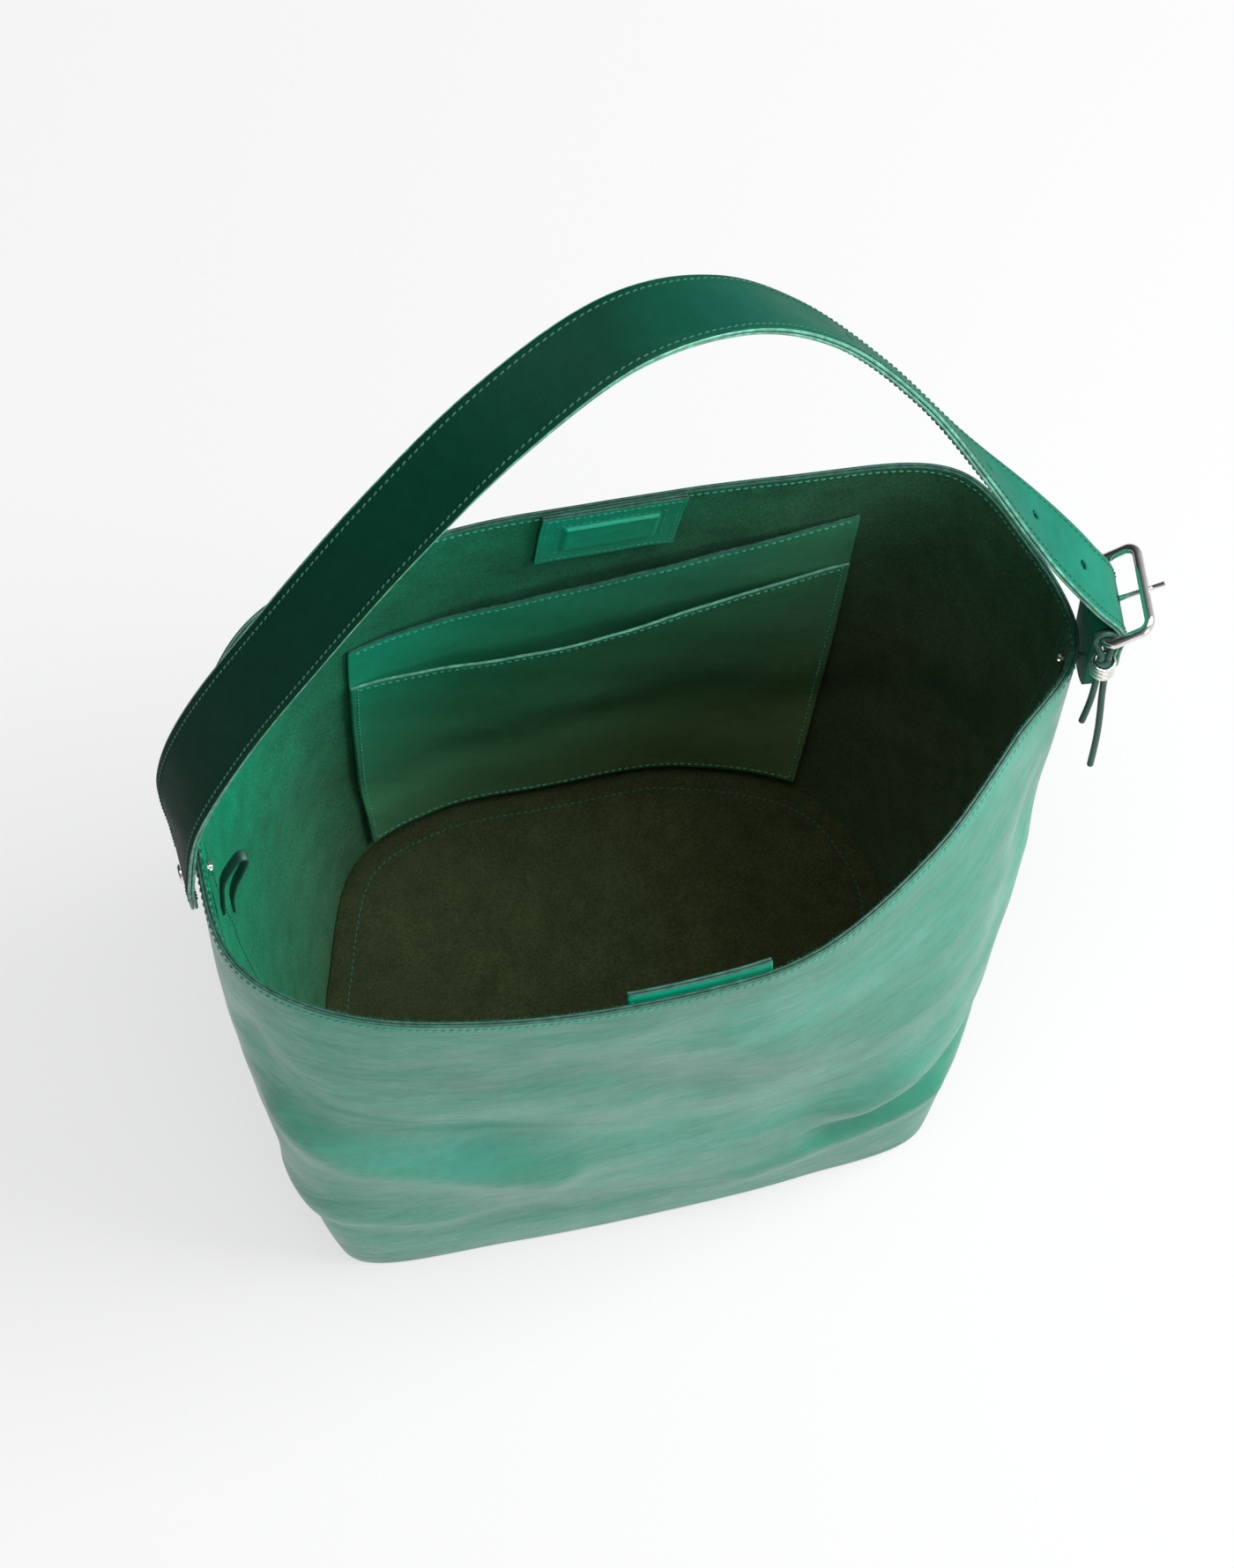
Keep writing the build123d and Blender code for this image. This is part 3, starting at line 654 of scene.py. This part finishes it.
def build_base():
    sole = plate("base_leather", 0.0, BASE, 1.9, [leather, edge, leather], None, 0.8)
    place(sole, "bag", "base_leather", "base_panel")
    floor_z = BASE + GAP
    skins = [floor_suede, edge, floor_suede]
    liner = plate("floor_liner", floor_z, floor_z + LINER, WALL + 0.2, skins, floor_sag)
    place(liner, "bag", "floor_leather", "base_liner")
    line = outline(floor_z + LINER, WALL + 11, 720)
    line[:, 2] += floor_sag(line[:, :2])
    closed = np.vstack((line, line[:1]))
    row = stitch_row("floor_stitches", closed, np.tile(UP, (len(closed), 1)), dark_thread)
    place(row, "bag", "floor_leather")


def build_seam_facings():
    for side, seam in (("left", LEFT_SEAM), ("right", ROUND)):
        def span(z):
            waver = 0.006 * np.sin(z * 0.9) + 0.005 * np.sin(z * 2.3 + 1) + 0.004 * np.sin(z * 0.21)
            return seam - SEAM_HALF + waver, seam + SEAM_HALF - waver[::-1]
        strip = ply(
            f"{side}_facing", span, BASE + LINER + 2.2, 296.5, WALL + GAP, WALL + GAP + FACING,
            26, 300, [lining_front] * 3, 0.4,
        )
        place(strip, "bag", "suede_lining", f"{side}_seam_facing")
        for step in (-0.2, 0.2):
            line = wall_line([(seam + step, 14), (seam + step, 292)], WALL + GAP + FACING, True, 160)
            row = stitch_row(f"{side}_facing_stitches_{'ab'[step > 0]}", *line, dark_thread)
            place(row, "bag", "suede_lining")


def build_fibres():
    """Loose suede fibres along the cut rim, thickest at the two seams."""
    draws = np.random.default_rng(11)
    count = 2600
    u = np.concatenate((
        draws.uniform(0, ROUND, count),
        draws.normal(LEFT_SEAM, 0.5, count // 4),
        draws.normal(0, 0.5, count // 4),
    ))
    root, inward = wall_point(u, np.full(len(u), MOUTH_Z - 0.5), draws.uniform(SKIN + 0.3, WALL, len(u)))
    lean = draws.normal(0, 0.45, (len(u), 3))
    lean = lean + inward * draws.uniform(0.1, 1.1, len(u))[:, None] + (0, 0, 0.55)
    lean /= np.linalg.norm(lean, axis=1, keepdims=True)
    reach = draws.uniform(0.5, 1.5, len(u))[:, None]
    curl = draws.normal(0, 0.25, (len(u), 3))
    across = np.cross(lean, (0.2, 0.3, 1.0))
    across *= 0.055 / np.linalg.norm(across, axis=1, keepdims=True)
    other = np.cross(lean, across)
    points = []
    for share in (0.0, 0.5, 1.0):
        middle = root + lean * reach * share + curl * share**2
        for a, b in ((1, 0), (-0.5, 0.87), (-0.5, -0.87)):
            points.append(middle + (across * a + other * b) * (1 - 0.7 * share))
    points = np.stack(points, axis=1).reshape(-1, 3)
    one = loops_to_faces(3, 3) + [(2, 1, 0), (6, 7, 8)]
    faces = [tuple(v + 9 * k for v in face) for k in range(len(u)) for face in one]
    place(mesh_object("rim_fibres", points, faces, [fibre]), "bag", "suede_lining")


# ---- pockets ----
POCKET_FOOT = 14.0
POCKET_RIGHT, POCKET_LEFT = (2.1, 2.5), (5.7, 5.42)
POCKET_SIDES = (147.0, -79.0)
REAR_MOUTH, FRONT_MOUTH = (258.0, 217.0), (214.0, 184.0)
REAR_GAPE, FRONT_GAPE = 7.0, 11.0


def pocket_ends(z):
    rise = z / MOUTH_Z
    return tuple(low + (high - low) * rise for low, high in (POCKET_RIGHT, POCKET_LEFT))


def gape(u, z, most, top, hump):
    start, end = pocket_ends(z)
    across = np.clip((u - start) / (end - start), 0, 1)
    up = np.clip((z - POCKET_FOOT) / (top - POCKET_FOOT), 0, 1)
    return most * np.sin(math.pi * across**hump) * up**2


def rear_inset(u, z):
    return WALL + GAP + gape(u, z, REAR_GAPE, 240, 1.0)


def front_inset(u, z):
    return rear_inset(u, z) + POCKET + GAP + gape(u, z, FRONT_GAPE, 200, 1.35)


def pocket_top(mouth, t):
    """Height of a pocket's sloping top edge at each share t of its width."""
    z = np.full_like(t, sum(mouth) / 2)
    for _ in range(12):
        start, end = pocket_ends(z)
        x = wall_xy(start + (end - start) * t, z)[:, 0]
        z = mouth[0] + (x - POCKET_SIDES[0]) * (mouth[1] - mouth[0]) / (POCKET_SIDES[1] - POCKET_SIDES[0])
    return z


def build_pockets():
    columns, rows = 240, 110
    t = np.linspace(0, 1, columns + 1)
    # The rear pocket's edge keeps the dark edge paint; the front pocket's edge gets the paler copy as a
    # painted highlight.
    pockets = (("rear", REAR_MOUTH, rear_inset, edge), ("front", FRONT_MOUTH, front_inset, pale_edge))
    for side, mouth, inset, rim in pockets:
        top = pocket_top(mouth, t)
        sheet = ply(
            f"{side}_pocket_leather", pocket_ends, POCKET_FOOT, top, inset, lambda u, z: inset(u, z) + POCKET,
            columns, rows, [calf, rim, calf], 0.5,
        )
        place(sheet, "bag", "pocket_leather", f"{side}_pocket")
        face = lambda u, z: inset(u, z) + POCKET
        start, end = pocket_ends(top)
        inner_t = np.linspace(0.012, 0.988, columns + 1)
        mouth_u = start + (end - start) * inner_t
        mouth_z = pocket_top(mouth, inner_t) - 3.4
        points, inward = wall_point(mouth_u, mouth_z, face(mouth_u, mouth_z))
        row = stitch_row(f"{side}_pocket_mouth_stitches", points, inward, thread)
        place(row, "bag", "pocket_leather")
    border_z = np.linspace(POCKET_FOOT + 3, FRONT_MOUTH[0] - 1, 200)
    for name, pick, step in (("right", 0, 0.045), ("left", 1, -0.045)):
        z = border_z if name == "right" else np.linspace(POCKET_FOOT + 3, FRONT_MOUTH[1] - 1, 200)
        u = pocket_ends(z)[pick] + step
        points, inward = wall_point(u, z, front_inset(u, z) + POCKET)
        place(stitch_row(f"pocket_{name}_stitches", points, inward, thread), "bag", "pocket_leather")
    z = np.full(300, POCKET_FOOT + 3.2)
    start, end = pocket_ends(z)
    u = start + 0.045 + (end - start - 0.09) * np.linspace(0, 1, 300)
    points, inward = wall_point(u, z, front_inset(u, z) + POCKET)
    place(stitch_row("pocket_foot_stitches", points, inward, thread), "bag", "pocket_leather")


# ---- magnet tabs ----
TAB_FOOT, TAB_TOP, TAB_PLY = 256.0, MOUTH_Z + 3, 1.3
MAGNET_THICK, MAGNET_LOW, MAGNET_HIGH = 1.8, 269.0, 289.0
TAB_SPANS = {"back": (3.54, 4.36), "front": (11.6, 12.58)}


def build_tabs():
    for side, (start, end) in TAB_SPANS.items():
        width = end - start
        left, right = start + 0.17 * width, end - 0.17 * width
        ramp_u, ramp_z = 0.02 * width, 1.2
        lean = lambda z: 1.6 * ease(284, 303, z)
        low = WALL + GAP
        high = low + TAB_PLY + 0.05

        def raised(u, z):
            across = ease(left - ramp_u, left + ramp_u, u) * (1 - ease(right - ramp_u, right + ramp_u, u))
            upright = ease(MAGNET_LOW - 1 - ramp_z, MAGNET_LOW - 1 + ramp_z, z)
            upright = upright * (1 - ease(MAGNET_HIGH + 1 - ramp_z, MAGNET_HIGH + 1 + ramp_z, z))
            return MAGNET_THICK * across * upright

        span = lambda z: (start, end)
        inside = lambda u, z: high + TAB_PLY + raised(u, z) + lean(z)
        back_ply = ply(
            f"{side}_tab_lining", span, TAB_FOOT, TAB_TOP, lambda u, z: low + lean(z),
            lambda u, z: low + TAB_PLY + lean(z), 60, 40, [calf, edge, calf],
        )
        place(back_ply, "bag", "pocket_leather", f"{side}_tab_backing")
        cover = ply(
            f"{side}_tab_leather", span, TAB_FOOT, TAB_TOP, lambda u, z: high + lean(z), inside,
            150, 110, [calf, edge, calf],
        )
        place(cover, "bag", "pocket_leather", f"{side}_tab_cover", f"{side}_magnet")
        rim_u, rim_z = 0.04 * width, 2.6
        frames = (
            ("outer", start + rim_u, end - rim_u, TAB_FOOT + rim_z, TAB_TOP - rim_z),
            ("inner", left - 0.045 * width, right + 0.045 * width, MAGNET_LOW - 3.6, MAGNET_HIGH + 3.6),
        )
        for name, u0, u1, z0, z1 in frames:
            corners = [(u0, z0), (u1, z0), (u1, z1), (u0, z1), (u0, z0)]
            line = wall_line(corners, inside, True, 80)
            row = stitch_row(f"{side}_tab_{name}_stitches", *line, thread, 3.0, 2.2, 0.3)
            place(row, "bag", "pocket_leather")


# ---- small loop inside the left seam ----
def ribbon(name, path, across, width, thickness, materials):
    """A flat strip of leather along a path in the plane square to across, its edges eased."""
    path, across = np.asarray(path, float), np.asarray(across, float)
    run = np.gradient(path, axis=0)
    run /= np.linalg.norm(run, axis=1, keepdims=True)
    normal = np.cross(run, across)
    w, h, c = width / 2, thickness / 2, 0.35
    section = [(-w + c, -h), (w - c, -h), (w, -h + c), (w, h - c)]
    section += [(-a, -b) for a, b in section]
    points = np.concatenate([p + n * b + across * a for p, n in zip(path, normal) for a, b in section])
    points = points.reshape(-1, 3)
    count = len(section)
    faces = loops_to_faces(len(path), count)
    last = (len(path) - 1) * count
    faces += [tuple(reversed(range(count))), tuple(range(last, last + count))]
    return mesh_object(name, points, faces, materials)


def through(points, steps=12):
    """A smooth curve through points, given as rows."""
    points = np.asarray(points, float)
    ends = np.vstack((2 * points[0] - points[1], points, 2 * points[-1] - points[-2]))
    t = np.linspace(0, 1, steps, endpoint=False)[:, None]
    spans = [smooth(ends[i], ends[i + 1], ends[i + 2], ends[i + 3], t) for i in range(len(points) - 1)]
    return np.concatenate(spans + [points[-1:]])


def build_inner_loop():
    route = [(-166, 262), (-165.2, 276), (-163.8, 291), (-159.5, 303), (-155.6, 310.6), (-153.2, 311.4),
             (-152.4, 308.6), (-155.2, 298), (-158.8, 287), (-161.2, 274), (-161.5, 262)]
    path = through([(x, -23.0, z) for x, z in route])
    loop = ribbon("folded_loop", path, (0, 1, 0), 5.2, 1.3, [lace_skin])
    place(loop, "bag", "lace_leather", "inner_loop")


# ---- strap ----
def strap_ply(name, low, high, materials, cutters):
    """One ply of the strap: its ends narrow to the rounded shapes of the CAD plies."""
    total = strap_fraction([0])[1]
    ends = 14 * (1 - np.cos(np.linspace(0, math.pi / 2, 18)))
    stations = np.concatenate((ends[:-1], np.linspace(14, total - 14, 300), (total - ends[::-1])[1:]))
    s = strap_fraction(stations)[0]
    middle, run, width = strap_frame(s)
    out = np.cross(run, width)
    z = middle[:, 2]
    half = np.full(len(s), STRAP_WIDTH / 2)
    first, last = s < 0.08, s > 0.9
    drop = np.clip(PIVOT_Z - z[first], 0, None)
    half[first] = np.sqrt(np.clip((STRAP_WIDTH / 2) ** 2 - drop**2, 0.04, None))
    down = np.clip((TAIL_Z - z[last]) / TAIL_TIP, 0, None)
    half[last] = STRAP_WIDTH / 2 * np.sqrt(np.clip(1 - down**2, 0.0002, None))
    outer_sign = 1 if high > 0 and low >= 0 else -1
    face, seam = (high, low) if outer_sign > 0 else (low, high)
    corner = 0.5
    top = np.linspace(-1, 1, 17)
    section = [(a, face - outer_sign * (0.18 * abs(a) ** 6), -corner * (abs(a) > 0.99)) for a in top]
    side = [(face - outer_sign * (corner + 0.1), 0.0), (seam + outer_sign * 0.25, 0.0), (seam, -0.3)]
    section += [(1, *point) for point in side] + [(-1, *point) for point in side[::-1]]
    points = []
    for a, b, trim in section:
        reach = np.maximum(half + trim, 0.1) * a
        points.append(middle + width * reach[:, None] + out * b)
    points = np.stack(points, axis=1)
    count = len(section)
    faces = loops_to_faces(len(s), count)
    end = (len(s) - 1) * count
    faces += [tuple(reversed(range(count))), tuple(range(end, end + count))]
    kinds = np.full(count, 1)
    kinds[: len(top) - 1] = 0
    kinds[len(top) + 2] = 0
    face_kinds = list(np.tile(kinds, len(s) - 1)) + [1, 1]
    strap = mesh_object(name, points.reshape(-1, 3), faces, materials, face_kinds)
    for cutter in cutters:
        cut = strap.modifiers.new("cut", "BOOLEAN")
        cut.operation, cut.object, cut.solver = "DIFFERENCE", cutter, "EXACT"
    graph = bpy.context.evaluated_depsgraph_get()
    made = bpy.data.meshes.new_from_object(strap.evaluated_get(graph))
    strap.modifiers.clear()
    strap.data = made
    return strap


def strap_holes():
    """Punches for the strap's round holes and for the slot that the prong lies in."""
    s = np.linspace(0, 1, 3000)
    middle = strap_frame(s)[0]
    along = np.concatenate(((0,), np.cumsum(np.linalg.norm(np.diff(middle, axis=0), axis=1))))
    prong_at = np.interp((len(STRAP_PATH) - 3) / (len(STRAP_PATH) - 1), s, along)
    marks = strap_fraction([prong_at - HOLE_PITCH * k for k in range(1, HOLES)])[0]
    middle, run, width = strap_frame(marks)
    out = np.cross(run, width)
    punches = []
    for k, (m, o) in enumerate(zip(middle, out)):
        points, faces = tube([m - o * 8, m, m + o * 8], STRAP_HOLE / 2, 28)
        punches.append(mesh_object(f"punch_{k}", points, faces, [edge]))
    direction = HEEL_OUT * math.cos(PRONG_RISE) + UP * math.sin(PRONG_RISE)
    lift = np.cross(HEEL_RUN, direction) * -1
    centre = HEEL + HEEL_OUT * 6.9 + UP * 2.9
    corners = [centre + direction * a * 7 + lift * b * 3.2 + HEEL_RUN * c * STRAP_HOLE / 2
               for a in (-1, 1) for b in (-1, 1) for c in (-1, 1)]
    faces = [(0, 1, 3, 2), (4, 6, 7, 5), (0, 4, 5, 1), (2, 3, 7, 6), (0, 2, 6, 4), (1, 5, 7, 3)]
    punches.append(mesh_object("punch_slot", corners, faces, [edge]))
    return punches


def build_strap():
    punches = strap_holes()
    outer = strap_ply("strap_face", STRAP_BOND, STRAP_PLY, [bridle, pale_edge], punches)
    place(outer, "strap", "strap_leather", "strap_outer")
    inner = strap_ply("strap_inside", -STRAP_PLY, -STRAP_BOND, [backing, pale_edge], punches)
    place(inner, "strap", "strap_backing", "strap_lining")
    for punch in punches:
        bpy.data.objects.remove(punch)
    total = strap_fraction([0])[1]
    s = strap_fraction(np.linspace(15, total - 15, 1200))[0]
    middle, run, width = strap_frame(s)
    out = np.cross(run, width)
    for name, sign in (("outside", 1), ("inside", -1)):
        for edge_name, reach in (("front", -1), ("rear", 1)):
            line = middle + width * reach * (STRAP_WIDTH / 2 - 2.9) + out * sign * (STRAP_PLY - 0.02)
            row = stitch_row(f"strap_stitches_{name}_{edge_name}", line, out * sign, dark_thread)
            place(row, "strap", "strap_leather")


# ---- buckle, ring and laces ----
def build_buckle():
    reach = HEEL_OUT * math.cos(BUCKLE_TILT) + UP * math.sin(BUCKLE_TILT)
    half, corner = (BUCKLE_WIDTH - BAR) / 2, 5.0
    turns = [(corner, -half + corner, 180), (BUCKLE_REACH - corner, -half + corner, 270),
             (BUCKLE_REACH - corner, half - corner, 0), (corner, half - corner, 90)]
    path = []
    for x, y, start in turns:
        for angle in np.radians(start + np.linspace(0, 90, 14)):
            path.append((x + corner * math.cos(angle), y + corner * math.sin(angle)))
    path = np.array(path)
    dense = []
    for a, b in zip(path, np.roll(path, -1, 0)):
        steps = max(1, int(np.linalg.norm(b - a) / 1.5))
        dense += [a + (b - a) * k / steps for k in range(steps)]
    centres = [HEEL + reach * x + HEEL_RUN * y for x, y in dense]
    points, faces = tube(centres, BAR / 2, 28, closed=True)
    place(mesh_object("buckle", points, faces, [nickel]), "buckle", "nickel", "buckle_frame")


def revolve(name, profile, x, y, materials, sides=64):
    """A closed (radius, height) profile turned about the upright line through x, y."""
    turn = np.linspace(0, 2 * math.pi, sides, endpoint=False)
    rings = [[(x + r * math.cos(a), y + r * math.sin(a), z) for r, z in profile] for a in turn]
    faces = loops_to_faces(sides, len(profile), True)
    return mesh_object(name, np.array(rings).reshape(-1, 3), faces, materials)


RING_TOP, RING_HEIGHT, RING_R, BORE_R = 316.4, 9.6, 5.4, 3.3
RING_FOOT = RING_TOP - RING_HEIGHT
RING_AT = 19.8           # along the heel bar, towards the front
RING_SPOT = HEEL - HEEL_RUN * RING_AT
SHORT_TAIL = [(-1.6, 0, 0), (-2.0, -0.4, -13), (-3.2, -1.3, -28), (-5.4, -1.8, -42)]
LONG_TAIL = [(1.6, 0, 0), (2.0, -0.3, -20), (2.9, -1.4, -42), (3.4, -2.2, -65), (2.6, -2.9, -88)]


def build_ring():
    profile = [(BORE_R, RING_FOOT + 0.4), (BORE_R, RING_TOP - 0.4), (BORE_R + 0.4, RING_TOP)]
    band = RING_HEIGHT / 3
    for k in range(3):
        top = RING_TOP - k * band
        for angle in np.radians(np.linspace(80, -80, 9)):
            radius = RING_R - 0.85 + 0.85 * math.cos(angle)
            profile.append((radius, top - band / 2 + band / 2 * math.sin(angle)))
    profile.append((BORE_R + 0.4, RING_FOOT))
    ring = revolve("tie_ring", profile, RING_SPOT[0], RING_SPOT[1], [nickel])
    place(ring, "tie", "nickel", "lace_ring")


def build_lace(name, node, route):
    start = Vector((RING_SPOT[0], RING_SPOT[1], RING_FOOT)) * MM
    points = [start + Vector(p) * MM for p in route]
    data = bpy.data.curves.new(name, "CURVE")
    data.dimensions = "3D"
    data.bevel_depth = LACE / 2 * MM
    data.bevel_resolution = 5
    data.use_fill_caps = True
    spline = data.splines.new("NURBS")
    spline.points.add(len(points) - 1)
    for target, point in zip(spline.points, points):
        target.co = (*point, 1)
    spline.order_u = 3
    spline.use_endpoint_u = True
    spline.resolution_u = 16
    data.materials.append(lace_skin)
    obj = bpy.data.objects.new(name, data)
    bpy.context.collection.objects.link(obj)
    place(obj, "tie", "lace_leather", node)


def dress_frame():
    """Materials for the CAD nodes that stay in view."""
    kept = {
        "left_rivet": nickel, "left_rivet_burr": nickel, "right_rivet": nickel, "right_rivet_burr": nickel,
        "buckle_prong": nickel, "chape": bridle, "lace_loop": lace_skin, "lace_knot": lace_skin,
    }
    for node, material in kept.items():
        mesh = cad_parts[node].data
        mesh.materials.clear()
        mesh.materials.append(material)


# ---- studio ----
CEILING = (0.05, 0.052, 0.055)
FLOOR_GLOW = 0.67
# Each light's name, place in metres, size in metres and power in watts.
LIGHTS = (
    ("key", (1.45, -0.35, 2.1), 1.3, 74),
    ("fill", (0.3, -2.4, 1.1), 1.6, 8),
    ("overhead", (-0.1, -0.25, 2.6), 1.0, 20),
)


def build_studio():
    """A pale floor, a room bright to the front right and dim behind, and three soft lights."""
    bpy.context.scene.view_settings.view_transform = "Standard"
    world = bpy.data.worlds.new("studio")
    world.use_nodes = True
    nodes, links = world.node_tree.nodes, world.node_tree.links
    place_node = nodes.new("ShaderNodeTexCoord")
    facing = nodes.new("ShaderNodeVectorMath")
    facing.operation = "DOT_PRODUCT"
    facing.inputs[1].default_value = (0.78, -0.6, 0.1)
    links.new(place_node.outputs["Generated"], facing.inputs[0])
    side = spread(nodes, links, facing.outputs["Value"], 0, 1, -0.7, 0.9)
    sky = ramp(nodes, links, side, ((0.0, CEILING), (0.45, (0.30, 0.31, 0.32)), (1.0, (0.95, 0.96, 0.97))))
    links.new(sky, nodes["Background"].inputs["Color"])
    nodes["Background"].inputs["Strength"].default_value = 0.8
    bpy.context.scene.world = world
    material, nodes, links, shader = new_material("pale_floor", (0.20, 0.20, 0.20), 0.9)
    shader.inputs["Specular IOR Level"].default_value = 0.0
    shader.inputs["Emission Color"].default_value = (1, 1, 1, 1)
    shader.inputs["Emission Strength"].default_value = FLOOR_GLOW
    bpy.ops.mesh.primitive_plane_add(size=80, location=(0, 0, -0.0004))
    floor = bpy.context.object
    floor.name = "studio_floor"
    floor.data.materials.append(material)
    for name, place_at, size, power in LIGHTS:
        light = bpy.data.lights.new(name, "AREA")
        light.size = size
        light.energy = power
        lamp = bpy.data.objects.new(name, light)
        lamp.location = place_at
        lamp.rotation_euler = (Vector((0, 0, 0.2)) - Vector(place_at)).to_track_quat("-Z", "Y").to_euler()
        bpy.context.collection.objects.link(lamp)


def build_camera():
    turn, rise, distance = math.radians(-15), math.radians(65), 1.9
    target = Vector((0.006, -0.0265, 0.300))
    away = Vector((math.sin(turn) * math.cos(rise), -math.cos(turn) * math.cos(rise), math.sin(rise)))
    data = bpy.data.cameras.new("view")
    data.sensor_fit = "HORIZONTAL"
    data.sensor_width = 36
    data.lens = 131.9
    camera = bpy.data.objects.new("view", data)
    camera.location = target + away * distance
    camera.rotation_euler = (-away).to_track_quat("-Z", "Y").to_euler()
    bpy.context.collection.objects.link(camera)
    bpy.context.scene.camera = camera


build_camera()
build_lace("short_tail", "short_lace", SHORT_TAIL)
build_lace("long_tail", "long_lace", LONG_TAIL)
build_walls()
build_base()
build_seam_facings()
build_fibres()
build_pockets()
build_tabs()
build_inner_loop()
build_strap()
build_buckle()
build_ring()
dress_frame()
build_studio()
